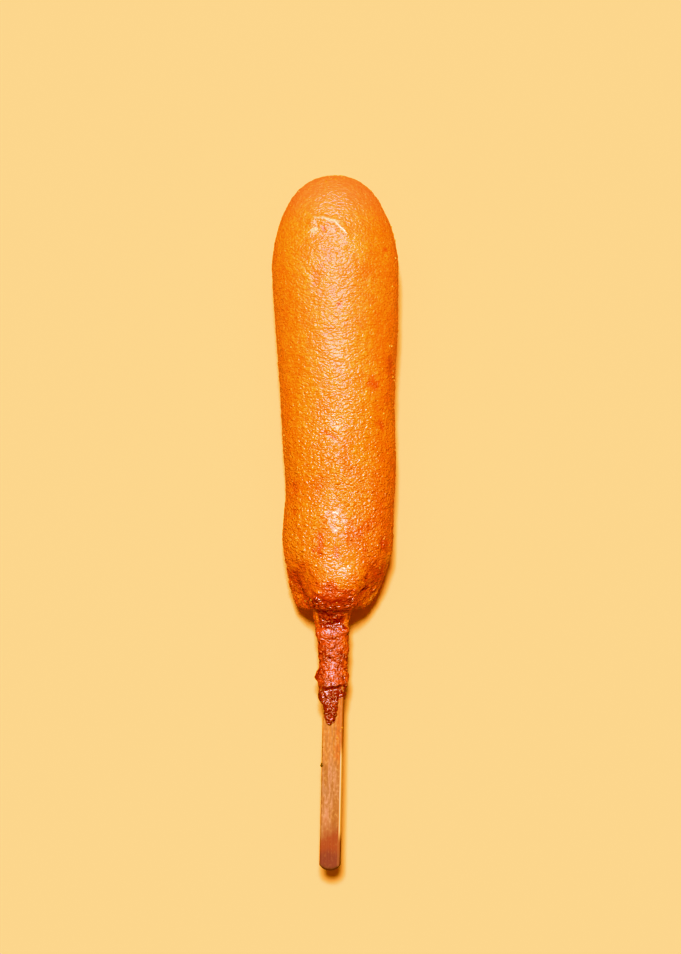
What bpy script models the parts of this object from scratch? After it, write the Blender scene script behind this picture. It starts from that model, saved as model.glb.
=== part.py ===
"""Corn dog lying on its side: a fried batter body with its collar, on a flat wooden stick.

Metres, +Z up. The corn dog lies along Y with its nose at +Y and its stick at -Y, and rests on
the floor at Z = 0 on a narrow flat strip under the body. The origin is under the middle of the
whole, on the floor. Lengths along the corn dog are counted from the nose's tip.
"""

import math

import bmesh
import bpy
from mathutils import Matrix, Vector, noise

MM = 0.001

# Driving dimensions
OVERALL_LENGTH = 204.0 * MM
BODY_LENGTH = 127.5 * MM
NOSE_LENGTH = 29.5 * MM
NOSE_POWER = 2.12
SHOULDER_LENGTH = 20.6 * MM
FACE_RADIUS = 8.3 * MM
COLLAR_LENGTH = 27.6 * MM
TONGUE_LENGTH = 6.4 * MM
STICK_WIDTH = 6.1 * MM
STICK_THICKNESS = 3.0 * MM
STICK_IN_BODY = 63.0 * MM
STICK_EDGE = 0.45 * MM
STICK_END_ARC = 1.6 * MM
FLAT_DEPTH = 0.45 * MM
FIT_GAP = 0.3 * MM

# How the stick leaves the body, in degrees: sideways to -X, upwards, and rolled to its left
STICK_SWAY = 0.5
STICK_RISE = 3.0
STICK_ROLL = -9.0

# The unevenness of the fried surface
LUMP_SIZE = 15.0 * MM
LUMP_HEIGHT = 0.42 * MM
RIPPLE_SIZE = 5.0 * MM
RIPPLE_HEIGHT = 0.14 * MM

# Meshing
SEGMENTS = 48
NOSE_RINGS = 11
SIDE_RINGS = 27
SHOULDER_RINGS = 9
COLLAR_RING_STEP = 1.15 * MM
END_STEPS = 8

# The body's radius before its ends are rounded, from the nose's tip
BODY_RADII = (
    (29.5 * MM, 18.6 * MM),
    (43.0 * MM, 18.0 * MM),
    (57.0 * MM, 17.2 * MM),
    (76.0 * MM, 16.5 * MM),
    (92.0 * MM, 16.25 * MM),
    (107.0 * MM, 16.2 * MM),
)

# The sideways bow of the centre line, from the nose's tip
BOW = (
    (0.0 * MM, -0.1 * MM),
    (32.0 * MM, 0.0 * MM),
    (46.0 * MM, 0.55 * MM),
    (76.0 * MM, 1.15 * MM),
    (88.0 * MM, 1.65 * MM),
    (101.0 * MM, 1.1 * MM),
    (121.0 * MM, 0.55 * MM),
    (127.5 * MM, -0.8 * MM),
)

# Half the collar's width and half its height, from the body's end face
COLLAR_WIDTHS = (
    (0.0 * MM, 5.9 * MM),
    (1.6 * MM, 5.4 * MM),
    (4.6 * MM, 4.75 * MM),
    (6.6 * MM, 4.95 * MM),
    (9.0 * MM, 4.6 * MM),
    (13.0 * MM, 4.45 * MM),
    (16.5 * MM, 4.1 * MM),
    (20.0 * MM, 4.55 * MM),
    (22.4 * MM, 4.3 * MM),
    (23.6 * MM, 3.95 * MM),
    (26.4 * MM, 3.9 * MM),
    (27.6 * MM, 2.9 * MM),
)
COLLAR_HEIGHTS = (
    (0.0 * MM, 5.4 * MM),
    (4.6 * MM, 3.7 * MM),
    (6.6 * MM, 4.2 * MM),
    (9.0 * MM, 3.7 * MM),
    (13.0 * MM, 3.6 * MM),
    (16.5 * MM, 3.1 * MM),
    (20.0 * MM, 3.7 * MM),
    (22.4 * MM, 3.4 * MM),
    (23.6 * MM, 2.75 * MM),
    (26.4 * MM, 2.75 * MM),
    (27.6 * MM, 1.9 * MM),
)
TONGUE_HALF_WIDTH = 2.2 * MM
TONGUE_HALF_HEIGHT = 1.5 * MM

# A torn flake that stands out at the collar's left side
FLAKE_AT = 20.6 * MM
FLAKE_LENGTH = 1.7 * MM
FLAKE_HEIGHT = 0.9 * MM

NOSE_Y = OVERALL_LENGTH / 2
FACE_Y = NOSE_Y - BODY_LENGTH
AXIS_Z = BODY_RADII[-1][1] - FLAT_DEPTH
FACE_X = BOW[-1][1]

# Colours, as linear RGB
BATTER_COLOUR = (0.80, 0.25, 0.015, 1.0)
WOOD_COLOUR = (0.60, 0.34, 0.15, 1.0)


def clear_scene():
    for obj in list(bpy.data.objects):
        bpy.data.objects.remove(obj)


def through(stations, at):
    """The smooth curve through (place, value) stations, level beyond its two ends."""
    last = len(stations) - 1
    if at <= stations[0][0]:
        return stations[0][1]
    if at >= stations[last][0]:
        return stations[last][1]
    first = max(i for i in range(last) if stations[i][0] <= at)

    def slope(i):
        before = stations[max(i - 1, 0)]
        after = stations[min(i + 1, last)]
        return (after[1] - before[1]) / (after[0] - before[0])

    (start, low), (end, high) = stations[first], stations[first + 1]
    span = end - start
    t = (at - start) / span
    return (
        low * (2 * t**3 - 3 * t**2 + 1)
        + slope(first) * span * (t**3 - 2 * t**2 + t)
        + high * (3 * t**2 - 2 * t**3)
        + slope(first + 1) * span * (t**3 - t**2)
    )


def smooth_step(low, high, at):
    t = min(max((at - low) / (high - low), 0.0), 1.0)
    return t * t * (3 - 2 * t)


def nose_profile():
    """(length, radius) pairs over the rounded nose, from its tip."""
    pairs = []
    for i in range(NOSE_RINGS):
        turn = math.pi / 2 * i / NOSE_RINGS
        along = NOSE_LENGTH * (1 - math.cos(turn) ** (2 / NOSE_POWER))
        pairs.append((along, BODY_RADII[0][1] * math.sin(turn) ** (2 / NOSE_POWER)))
    return pairs


def side_profile():
    """(length, radius) pairs along the body's side, up to its shoulder."""
    start, end = NOSE_LENGTH, BODY_LENGTH - SHOULDER_LENGTH
    places = [start + (end - start) * i / SIDE_RINGS for i in range(SIDE_RINGS)]
    return [(along, through(BODY_RADII, along)) for along in places]


def shoulder_profile():
    """(length, radius) pairs round the shoulder, down to the flat end face."""
    pairs = []
    for i in range(SHOULDER_RINGS + 1):
        turn = math.pi / 2 * i / SHOULDER_RINGS
        along = BODY_LENGTH - SHOULDER_LENGTH * (1 - math.sin(turn))
        round_part = (BODY_RADII[-1][1] - FACE_RADIUS) * math.cos(turn)
        pairs.append((along, FACE_RADIUS + round_part))
    return pairs


def collar_profile():
    """(length, radius) pairs along the collar and its tongue, to the tongue's tip."""
    rings = round(COLLAR_LENGTH / COLLAR_RING_STEP)
    places = [COLLAR_LENGTH * i / rings for i in range(rings + 1)]
    pairs = [(BODY_LENGTH + at, through(COLLAR_WIDTHS, at)) for at in places]
    tongue_rings = round(TONGUE_LENGTH / COLLAR_RING_STEP)
    for i in range(1, tongue_rings + 1):
        turn = math.pi / 2 * i / tongue_rings
        along = BODY_LENGTH + COLLAR_LENGTH + TONGUE_LENGTH * math.sin(turn)
        pairs.append((along, TONGUE_HALF_WIDTH * math.cos(turn) ** 0.7))
    pairs[-1] = (pairs[-1][0], 0.0)
    return pairs


def turned(name, profile):
    """A closed mesh turned about the Y axis from (length, radius) pairs."""
    shape = bmesh.new()
    points = [shape.verts.new((radius, NOSE_Y - along, 0.0)) for along, radius in profile]
    edges = [shape.edges.new(pair) for pair in zip(points, points[1:])]
    bmesh.ops.spin(
        shape,
        geom=points + edges,
        cent=(0, 0, 0),
        axis=(0, 1, 0),
        angle=2 * math.pi,
        steps=SEGMENTS,
        use_merge=True,
    )
    bmesh.ops.remove_doubles(shape, verts=shape.verts, dist=1e-6)
    bmesh.ops.recalc_face_normals(shape, faces=shape.faces)
    mesh = bpy.data.meshes.new(name)
    shape.to_mesh(mesh)
    shape.free()
    return mesh


def height_share(along):
    """The height of the cross-section over its width: 1 on the body, less on the collar."""
    past_face = along - BODY_LENGTH
    if past_face <= 0:
        return 1.0
    if past_face >= COLLAR_LENGTH:
        return TONGUE_HALF_HEIGHT / TONGUE_HALF_WIDTH
    return through(COLLAR_HEIGHTS, past_face) / through(COLLAR_WIDTHS, past_face)


def centre_line(along):
    """The middle of the cross-section at that length from the nose's tip."""
    past_face = max(along - BODY_LENGTH, 0.0)
    x = through(BOW, along) - past_face * math.tan(math.radians(STICK_SWAY))
    z = through(BODY_RADII, along) - FLAT_DEPTH
    z += past_face * math.tan(math.radians(STICK_RISE))
    on_stick = smooth_step(COLLAR_LENGTH - 1.2 * MM, COLLAR_LENGTH + 0.6 * MM, past_face)
    lift = on_stick * STICK_THICKNESS / 2
    x += lift * math.sin(math.radians(STICK_ROLL))
    return Vector((x, NOSE_Y - along, z + lift * math.cos(math.radians(STICK_ROLL))))


def relief(point):
    """How far the fried surface stands out of its even form."""
    lumps = LUMP_HEIGHT * noise.noise(point / LUMP_SIZE)
    return lumps + RIPPLE_HEIGHT * noise.noise(point / RIPPLE_SIZE)


def flake(along, point):
    """How far the torn flake stands out at the collar's left side."""
    away = (along - BODY_LENGTH - FLAKE_AT) / FLAKE_LENGTH
    facing_left = max(-point.x / max(math.hypot(point.x, point.z), MM / 10), 0.0)
    return FLAKE_HEIGHT * math.exp(-away * away) * facing_left**4


def shape_batter(mesh):
    """Bows, flattens and roughens the turned form, and sets its underside on the floor."""
    shape = bmesh.new()
    shape.from_mesh(mesh)
    for vert in shape.verts:
        along = NOSE_Y - vert.co.y
        across = Vector((vert.co.x, 0.0, vert.co.z * height_share(along)))
        across.x -= flake(along, vert.co)
        vert.co = centre_line(along) + across
    shape.normal_update()
    collar_start = BODY_LENGTH - 1.0 * MM
    for vert in shape.verts:
        calm = 1 - 0.5 * smooth_step(collar_start, BODY_LENGTH, NOSE_Y - vert.co.y)
        vert.co += vert.normal * relief(vert.co) * calm
    for vert in shape.verts:
        vert.co.z = max(vert.co.z, 0.0)
    shape.to_mesh(mesh)
    shape.free()


def stick_outline(width, front_y, back_y, arc):
    """The stick's outline from above: two straight sides and a shallow arc at each end."""
    half = width / 2
    radius = (half * half + arc * arc) / (2 * arc)
    spread = math.asin(half / radius)
    turns = [spread * (1 - 2 * i / END_STEPS) for i in range(END_STEPS + 1)]
    front = [
        (radius * math.sin(turn), front_y - radius + radius * math.cos(turn))
        for turn in turns
    ]
    back = [(-x, back_y + front_y - y) for x, y in front]
    return front + back


def stick_mesh(name, grow, front_y, back_y):
    """A flat stick with rounded long edges, lying on Z = 0; grow makes it larger all round."""
    width = STICK_WIDTH + 2 * grow
    thickness = STICK_THICKNESS + 2 * grow
    shape = bmesh.new()
    outline = stick_outline(width, front_y, back_y, STICK_END_ARC)
    corners = [shape.verts.new((x, y, -thickness / 2)) for x, y in outline]
    bottom = shape.faces.new(corners)
    raised = bmesh.ops.extrude_face_region(shape, geom=[bottom])["geom"]
    top = [item for item in raised if isinstance(item, bmesh.types.BMVert)]
    bmesh.ops.translate(shape, verts=top, vec=(0, 0, thickness))
    bmesh.ops.recalc_face_normals(shape, faces=shape.faces)
    rims = [edge for edge in shape.edges if abs(edge.verts[0].co.z - edge.verts[1].co.z) < 1e-9]
    bmesh.ops.bevel(
        shape,
        geom=rims,
        offset=STICK_EDGE,
        offset_type="OFFSET",
        affect="EDGES",
        segments=2,
        profile=0.5,
        material=-1,
    )
    bmesh.ops.recalc_face_normals(shape, faces=shape.faces)
    mesh = bpy.data.meshes.new(name)
    shape.to_mesh(mesh)
    shape.free()
    return mesh


def stick_placing():
    """Puts the stick's own frame, Y along it from the body's face, into the corn dog's."""
    turn = (
        Matrix.Rotation(math.radians(-STICK_RISE), 4, "X")
        @ Matrix.Rotation(math.radians(-STICK_SWAY), 4, "Z")
        @ Matrix.Rotation(math.radians(STICK_ROLL), 4, "Y")
    )
    return Matrix.Translation((FACE_X, FACE_Y, AXIS_Z)) @ turn


def food_material(name, colour, roughness):
    material = bpy.data.materials.new(name)
    material.use_nodes = True
    shader = material.node_tree.nodes["Principled BSDF"]
    shader.inputs["Base Color"].default_value = colour
    shader.inputs["Roughness"].default_value = roughness
    shader.inputs["Metallic"].default_value = 0.0
    material.diffuse_color = colour
    return material


def add_object(name, mesh, material=None):
    obj = bpy.data.objects.new(name, mesh)
    bpy.context.scene.collection.objects.link(obj)
    if material:
        mesh.materials.append(material)
    mesh.shade_smooth()
    return obj


def add_socket():
    """The space that the stick takes up in the batter, as a cutter."""
    reach = COLLAR_LENGTH + TONGUE_LENGTH + 6 * MM
    mesh = stick_mesh("stick_socket", FIT_GAP, STICK_IN_BODY + FIT_GAP, -reach)
    socket = add_object("stick_socket", mesh)
    socket.matrix_world = stick_placing()
    socket.hide_render = True
    socket.display_type = "WIRE"
    return socket


def add_batter(socket):
    profile = nose_profile() + side_profile() + shoulder_profile() + collar_profile()
    mesh = turned("fried_batter", profile)
    shape_batter(mesh)
    batter = add_object("fried_batter", mesh, food_material("fried_batter", BATTER_COLOUR, 0.35))
    cut = batter.modifiers.new("stick_socket", "BOOLEAN")
    cut.operation = "DIFFERENCE"
    cut.solver = "EXACT"
    cut.object = socket
    return batter


def add_stick():
    shown = OVERALL_LENGTH - BODY_LENGTH
    mesh = stick_mesh("wooden_stick", 0.0, STICK_IN_BODY, -shown)
    stick = add_object("wooden_stick", mesh, food_material("pale_wood", WOOD_COLOUR, 0.6))
    stick.matrix_world = stick_placing()
    return stick


def main():
    clear_scene()
    add_batter(add_socket())
    add_stick()


main()
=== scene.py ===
"""The looks of a corn dog: its fried crust, its wooden stick, and the crumbs and grits on them.

Metres, +Z up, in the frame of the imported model. The corn dog lies along Y, nose at +Y and stick
at -Y, and rests on the floor at Z = 0. Lengths along it are counted from the nose's tip.
"""

import functools
import math
import random

import bmesh
import bpy
from bpy.props import FloatProperty, FloatVectorProperty, IntProperty, PointerProperty
from mathutils import Matrix, Vector, noise
from mathutils.bvhtree import BVHTree
from mathutils.kdtree import KDTree


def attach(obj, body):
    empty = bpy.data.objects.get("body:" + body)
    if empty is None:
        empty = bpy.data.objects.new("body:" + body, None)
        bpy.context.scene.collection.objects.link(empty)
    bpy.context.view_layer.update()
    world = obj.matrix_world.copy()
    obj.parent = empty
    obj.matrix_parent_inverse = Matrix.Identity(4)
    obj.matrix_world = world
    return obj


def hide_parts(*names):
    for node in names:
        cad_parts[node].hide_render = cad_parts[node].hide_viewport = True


bl_info = {
    "name": "Corn Dog",
    "version": (1, 0, 0),
    "blender": (4, 5, 0),
    "location": "View3D > Sidebar > Corn Dog",
    "description": "Makes a fried corn dog on a wooden stick around its packed solids",
    "category": "Add Mesh",
}

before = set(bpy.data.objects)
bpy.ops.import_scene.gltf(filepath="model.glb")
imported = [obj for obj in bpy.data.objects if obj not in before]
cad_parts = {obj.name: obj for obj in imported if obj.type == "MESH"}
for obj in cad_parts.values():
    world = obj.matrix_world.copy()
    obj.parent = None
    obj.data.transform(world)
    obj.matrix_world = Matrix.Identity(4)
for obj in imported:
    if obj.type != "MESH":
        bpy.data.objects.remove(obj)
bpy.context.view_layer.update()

MM = 0.001

# The even form of the batter and the stick, as in the solids' source
BODY_LENGTH = 127.5 * MM
NOSE_LENGTH = 29.5 * MM
NOSE_POWER = 2.12
SHOULDER_LENGTH = 20.6 * MM
FACE_RADIUS = 8.3 * MM
COLLAR_LENGTH = 27.6 * MM
TONGUE_LENGTH = 6.4 * MM
TONGUE_HALF_WIDTH = 2.2 * MM
TONGUE_HALF_HEIGHT = 1.5 * MM
STICK_WIDTH = 6.1 * MM
STICK_THICKNESS = 3.0 * MM
STICK_IN_BODY = 63.0 * MM
STICK_OUTSIDE = 76.5 * MM
STICK_EDGE = 0.45 * MM
STICK_END_ARC = 1.45 * MM
STICK_SWAY = math.radians(0.5)
STICK_LEAN = math.radians(1.27)
STICK_X = 0.30 * MM
STICK_RISE = math.radians(3.0)
STICK_ROLL = math.radians(-9.0)
FLAT_DEPTH = 0.45 * MM
LUMP_SIZE = 15.0 * MM
LUMP_HEIGHT = 0.42 * MM
RIPPLE_SIZE = 5.0 * MM
RIPPLE_HEIGHT = 0.14 * MM
FLAKE_AT = 20.1 * MM
FLAKE_LENGTH = 4.4 * MM
FLAKE_HEIGHT = 1.15 * MM

# The body's radius before its ends are rounded, from the nose's tip, in millimetres
BODY_RADII = ((29.5, 18.6), (43.0, 18.0), (57.0, 17.2), (76.0, 16.5), (92.0, 16.25), (107.0, 16.2))

# The sideways bow of the centre line, from the nose's tip, in millimetres
BOW = (
    (0.0, -0.1), (32.0, 0.0), (46.0, 0.55), (76.0, 1.15),
    (88.0, 1.65), (101.0, 1.1), (121.0, 0.55), (127.5, -0.8),
)

# Half the collar's width and half its height, from the body's end face, in millimetres
COLLAR_WIDTHS = (
    (0.0, 5.9), (1.6, 5.4), (4.6, 4.75), (6.6, 4.95), (9.0, 4.6), (13.0, 4.45),
    (16.5, 4.1), (20.0, 4.55), (22.4, 4.3), (23.6, 3.95), (26.4, 3.9), (27.6, 2.9),
)
COLLAR_HEIGHTS = (
    (0.0, 5.4), (4.6, 3.7), (6.6, 4.2), (9.0, 3.7), (13.0, 3.6), (16.5, 3.1),
    (20.0, 3.7), (22.4, 3.4), (23.6, 2.75), (26.4, 2.75), (27.6, 1.9),
)

NOSE_Y = 102.0 * MM
FACE_Y = NOSE_Y - BODY_LENGTH
AXIS_Z = BODY_RADII[-1][1] * MM - FLAT_DEPTH

# Batter that fills the upper corner between the body's end and the collar
FILLET = 0.36
FILLET_LENGTH = 1.7 * MM
COLLAR_LEAN = 0.5 * MM
SHOULDER_TRIM = 0.075

# How much lower the body's last corners lie than a turned form's, to the left and to the right
CORNER_DROOPS = (0.3, 0.26)
CORNER_LENGTHS = (112 * MM, 125 * MM)
CORNER_SIDES = (5 * MM, 12 * MM)

# Folds across the top of the collar: (length from the face, height), in millimetres
COLLAR_FOLDS = (
    (2.4, 0.0), (3.8, -0.22), (4.8, -0.42), (5.5, -0.12), (6.6, -0.16), (7.8, 0.24), (8.5, -0.06),
    (9.4, 0.0), (21.4, 0.0), (22.3, 0.28), (23.5, -0.42), (24.6, 0.0),
)
RIDGE_FLATNESS = 4.0 * MM

# How red and blue answer to light, as on film: (light, shown)
RED_RANGE = 2.0
RED_TONE = (
    (0.25, 0.165), (0.35, 0.265), (0.5, 0.46), (0.75, 0.71), (0.95, 0.88), (1.15, 0.92), (1.45, 0.95),
    (1.7, 0.985),
)
BLUE_TONE = (
    (0.05, 0.002), (0.1, 0.016), (0.177, 0.06), (0.227, 0.127), (0.291, 0.258), (0.5, 0.45), (0.8, 0.7),
)

# How charred the crust is towards the stick: (length from the body's end face, share)
CHARRING = (
    (-16.0, 0.0), (-9.0, 0.03), (-4.0, 0.08), (-1.8, 0.3), (0.0, 0.5), (4.8, 0.64), (6.2, 0.47),
    (9.0, 0.46), (13.0, 0.44), (17.0, 0.44), (21.0, 0.48), (22.6, 0.9), (24.0, 1.2), (28.0, 1.15),
    (30.0, 1.0), (34.0, 0.95),
)

# Where the crust's skin changes: the Y where each change starts and where it ends
DRIP_SKIN = (-50 * MM, -48 * MM)
COLLAR_SKIN = (-27 * MM, -24.5 * MM)
COARSE_SKIN = (-15 * MM, 55 * MM)
NOSE_SKIN = (20 * MM, 60 * MM)
# Where the painted sheen on the nose's tip fades in
PAINTED_SHEEN_SKIN = (84 * MM, 98 * MM)

# Where the stick's wood changes, likewise
END_GRAIN = (-98 * MM, -94.5 * MM)
# Where the painted light on the stick's right narrow side starts and stops
LIT_SIDE_FROM = (-94 * MM, -90 * MM)
LIT_SIDE_TO = (-70 * MM, -64 * MM)
REDDENED = (-92 * MM, -86.5 * MM)
OILED = (-75 * MM, -66 * MM)
STAINED = (-73 * MM, -67 * MM)

# The larger crumbs: where they lie in millimetres, their share of the full size, their browning
CRUMBS = (
    (19.2, 56.4, 17.5, 0.6, 0.2), (18.7, 42.8, 22.0, 1.0, 0.1), (18.3, 41.6, 20.0, 0.7, 0.2),
    (-18.8, 72.4, 18.0, 0.5, 0.3), (-4.9, -70.8, 19.5, 0.6, 1.2), (-5.0, -71.4, 19.5, 0.95, 1.2),
    (2.3, -60.2, 20.0, 0.6, 0.1), (1.6, -61.2, 20.0, 0.4, 0.2), (0.6, -63.2, 20.0, 0.45, 0.0),
    (-4.4, -66.0, 20.0, 0.4, 0.7),
)
GRIT_SEED = 7
CRUMB_SEED = 11

# The point that the light and the camera face, and how far the light leans from overhead
AIM = Vector((1.7 * MM, 13.4 * MM, 18 * MM))
KEY_LEFT = math.radians(1.7)
KEY_FORWARD = math.radians(17)
LENS = 100.0
SENSOR = 36.0
FLOOR_SIZE = 8.0

# How finely the crust is meshed
CRUST_SEGMENTS = 216
NOSE_RINGS = 80
SIDE_RINGS = 161
SHOULDER_RINGS = 51
FACE_RINGS = 5
COLLAR_RINGS = 92
TONGUE_RINGS = 22

# How finely the stick is meshed
STICK_RINGS = 230
STICK_TOP_CUTS = 44
STICK_SIDE_CUTS = 16

# Blisters (+) and pits (-) on the upper side: the points they run through as (sideways from the
# centre line, from the nose's tip), then width, height and browning, lengths in millimetres.
# Browning below 0 is paler than the skin around it.
# In the pits, browning also darkens them as painted shade inside
BLEMISHES = (
    # A real ridge arching over the nose; its paleness is a painted highlight
    (
        ((-6.9, 15.3), (-5.6, 14.0), (-3.5, 14.0), (-0.9, 14.8), (1.2, 16.0), (2.8, 17.6), (3.7, 18.7)),
        0.85, 0.65, -0.85,
    ),
    (((-5.3, 18.7), (-3.2, 19.2), (0.0, 19.8)), 1.7, -0.35, 0.08),
    # A painted glint on a small blister of the nose
    (((-6.2, 17.6), (-5.5, 17.2)), 0.6, 0.30, -1.6),
    (((-3.3, 16.7), (-3.0, 17.3)), 0.4, -0.30, 0.9),
    (((-7.4, 15.4),), 0.8, -0.10, 0.4),
    (((0.5, 17.4),), 0.4, -0.2, 0.5),
    (((14.6, 22.8),), 0.9, 0.10, 0.55),
    (((15.0, 24.1),), 0.45, 0.25, -1.0),
    (((10.2, 31.3), (9.9, 32.5)), 0.5, 0.20, -0.8),
    (((-5.4, 30.7), (-5.0, 32.3), (-5.7, 34.0)), 1.3, -0.16, 0.28),
    (((-7.2, 32.4), (-7.4, 35.9)), 0.9, 0.14, -0.25),
    (((0.9, 39.0),), 0.5, -0.30, 1.0),
    (((1.3, 39.4),), 1.5, -0.06, 0.35),
    (((10.6, 47.0),), 0.5, 0.30, -1.0),
    (((15.4, 55.7),), 2.6, -0.10, 0.3),
    (((9.6, 61.1), (10.9, 62.0)), 1.7, -0.16, 0.42),
    (((8.4, 60.3),), 0.5, 0.25, -0.8),
    (((7.8, 64.8), (8.2, 65.6)), 0.9, 0.22, -0.2),
    (((1.1, 71.2),), 0.4, -0.30, 0.9),
    (((-1.5, 74.5), (0.2, 75.7)), 1.2, 0.14, -0.25),
    (((-4.8, 75.3), (-3.0, 76.2), (-1.3, 77.2)), 0.7, -0.24, 0.45),
    (((12.2, 72.8), (12.8, 73.8)), 1.2, -0.15, 0.3),
    (((-1.6, 86.6), (-0.2, 88.0)), 1.1, 0.22, -0.3),
    (((12.6, 88.8),), 0.5, 0.25, -0.8),
    (((9.2, 91.0), (9.6, 93.3)), 1.5, 0.12, 0.18),
    (((-13.4, 90.6), (-13.2, 92.0)), 1.5, -0.08, 0.35),
    (((-13.0, 98.5),), 1.5, -0.08, 0.35),
    (((-14.9, 99.3),), 0.6, 0.30, -0.8),
    (((-1.4, 100.8), (0.6, 102.3)), 1.3, 0.20, -0.3),
    (((-5.2, 105.3), (-4.9, 107.6), (-5.3, 111.2)), 0.9, -0.18, 0.42),
    (((-0.4, 109.2), (-0.2, 111.5)), 0.7, -0.14, 0.36),
    (((-7.0, 110.0),), 0.4, -0.40, 1.0),
    (((-5.9, 109.8),), 0.35, -0.35, 0.9),
    (((13.2, 107.2), (13.0, 108.6)), 0.7, -0.45, 1.0),
    (((13.5, 104.7), (13.9, 105.4)), 0.8, 0.28, -0.4),
    (((7.9, 109.7),), 0.6, -0.20, 0.8),
    (((-12.6, 106.4), (-12.0, 107.1)), 0.8, 0.25, -0.15),
    (((3.4, 117.6), (5.2, 117.6)), 3.5, 1.0, -0.1),
    (((1.9, 120.6), (5.0, 120.6)), 1.5, 0.12, -0.4),
    (((1.3, 123.2),), 0.6, 0.15, -0.9),
    # Blisters where glints show by the base's left corner, a little paler as painted highlight
    (((-7.6, 121.2),), 0.75, 0.62, -0.3),
    (((-7.4, 123.2),), 0.7, 0.60, -0.3),
    (((-5.9, 123.8),), 0.7, 0.60, -0.3),
    (((-5.2, 122.2),), 0.7, 0.55, -0.3),
    (((-6.7, 122.2),), 0.45, -0.2, 1.2),
    (((-7.6, 116.1),), 1.0, 0.25, 0.5),
    (((8.5, 117.3), (8.4, 118.2)), 0.7, -0.30, 1.1),
    (((7.9, 121.7), (8.8, 121.2)), 0.75, -0.60, 1.6),
    (((-12.7, 117.2), (-11.4, 119.0), (-10.4, 121.0), (-9.2, 123.0), (-7.6, 125.0)), 1.4, -0.2, 1.3),
    # Dark crescent across the base's underside: browning and painted shade where the end turns down from
    # the light
    (((-6.4, 125.0), (-4.7, 124.2), (-1.0, 125.0), (2.4, 124.6), (4.6, 124.4)), 1.5, 0.0, 1.8),
    (((-6.0, 126.3), (-2.2, 126.6), (2.0, 126.5), (5.0, 125.8)), 0.8, -0.2, 1.2),
    (((6.2, 123.6), (7.6, 122.6)), 0.9, -0.12, 0.8),
    (((9.0, 87.7), (11.4, 95.3), (13.2, 104.0), (13.9, 110.4)), 2.8, 0.0, 0.13),
    # Pale bands along the base's two rims: painted light on the rims
    (((14.9, 112.0), (13.5, 117.0), (12.3, 121.0), (10.7, 124.4)), 2.0, 0.0, -0.9),
    (((-15.0, 112.0), (-13.9, 117.0), (-12.7, 121.0), (-10.8, 124.4)), 1.0, 0.0, -0.3),
    (((-13.0, 113.5), (-11.8, 119.0), (-9.6, 123.5)), 2.0, 0.0, 0.22),
    (((8.6, 111.5), (9.6, 116.0), (10.4, 119.0)), 2.6, 0.0, 0.12),
    # Paler rims of the collar: partly lighter batter, partly painted light glowing through its thin
    # edges
    (((4.3, 128.9), (4.0, 132.6)), 0.7, 0.1, -0.6),
    (((-4.4, 128.9), (-4.1, 132.2)), 0.7, 0.1, -0.6),
    (((3.3, 136.5), (3.5, 147.5)), 1.1, 0.0, -0.4),
    (((-5.0, 147.4), (-4.2, 145.8)), 1.5, 0.0, 1.7),
    (((-2.0, 151.0), (-1.7, 152.6)), 0.6, 0.34, 0.3),
    (((1.6, 151.8),), 0.6, 0.30, 0.3),
    (((-0.8, 154.2), (1.8, 154.0)), 0.95, -0.38, 0.5),
    # The drip's paler left edge: partly a thin batter film, partly painted light glowing through it
    (((-3.4, 151.2), (-3.2, 154.4)), 0.5, 0.0, -1.1),
    (((0.8, 155.2),), 0.55, 0.26, 0.3),
    (((-1.2, 156.9),), 0.5, 0.24, 0.4),
    (((-1.3, 159.7),), 0.45, 0.20, 0.4),
)

# Places that shine more: points they run through, as above, then width in millimetres and share
GLOSSY = (
    (((-6.0, 17.5),), 0.7, 0.9),
    (((-4.0, 14.3), (-1.2, 15.0), (2.8, 17.6)), 1.0, 0.45),
    (((1.0, 35.6), (2.0, 38.0)), 2.4, 0.25),
    (((0.4, 48.8), (1.6, 56.6)), 2.6, 0.3),
    (((-1.4, 71.3), (0.8, 77.2)), 2.8, 0.2),
    (((-2.6, 98.4), (1.6, 103.7)), 3.0, 0.5),
    (((-1.6, 113.2), (1.9, 116.0), (3.9, 112.8)), 3.0, 0.9),
    (((-7.5, 121.2), (-6.0, 123.6)), 1.3, 1.0),
    (((-3.4, 134.4), (3.4, 132.8)), 0.8, 0.6),
    (((-3.6, 132.6), (-1.2, 132.2), (1.2, 131.7), (3.6, 131.0)), 0.55, -1.0),
    (((-4.7, 123.8), (-1.0, 124.6), (2.8, 124.2)), 1.6, -1.0),
    (((-0.9, 142.6), (-0.9, 149.0)), 1.6, 0.38),
    (((-2.0, 150.8), (-1.7, 152.3)), 0.6, 0.8),
    (((1.6, 151.5),), 0.6, 0.8),
    (((0.8, 154.9),), 0.5, 0.7),
    (((-1.2, 156.6),), 0.45, 0.7),
    (((-1.3, 159.4),), 0.35, 0.8),
)


def through(stations, at):
    """The smooth curve through (place, value) stations, level beyond its two ends."""
    last = len(stations) - 1
    if at <= stations[0][0]:
        return stations[0][1]
    if at >= stations[last][0]:
        return stations[last][1]
    first = max(i for i in range(last) if stations[i][0] <= at)

    def slope(i):
        before = stations[max(i - 1, 0)]
        after = stations[min(i + 1, last)]
        return (after[1] - before[1]) / (after[0] - before[0])

    (start, low), (end, high) = stations[first], stations[first + 1]
    span = end - start
    t = (at - start) / span
    return (
        low * (2 * t**3 - 3 * t**2 + 1)
        + slope(first) * span * (t**3 - 2 * t**2 + t)
        + high * (3 * t**2 - 2 * t**3)
        + slope(first + 1) * span * (t**3 - t**2)
    )


def millimetres(stations, at):
    """The curve through stations given in millimetres, at a length in metres, in metres."""
    return through(stations, at / MM) * MM


def smooth_step(low, high, at):
    t = min(max((at - low) / (high - low), 0.0), 1.0)
    return t * t * (3 - 2 * t)


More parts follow.
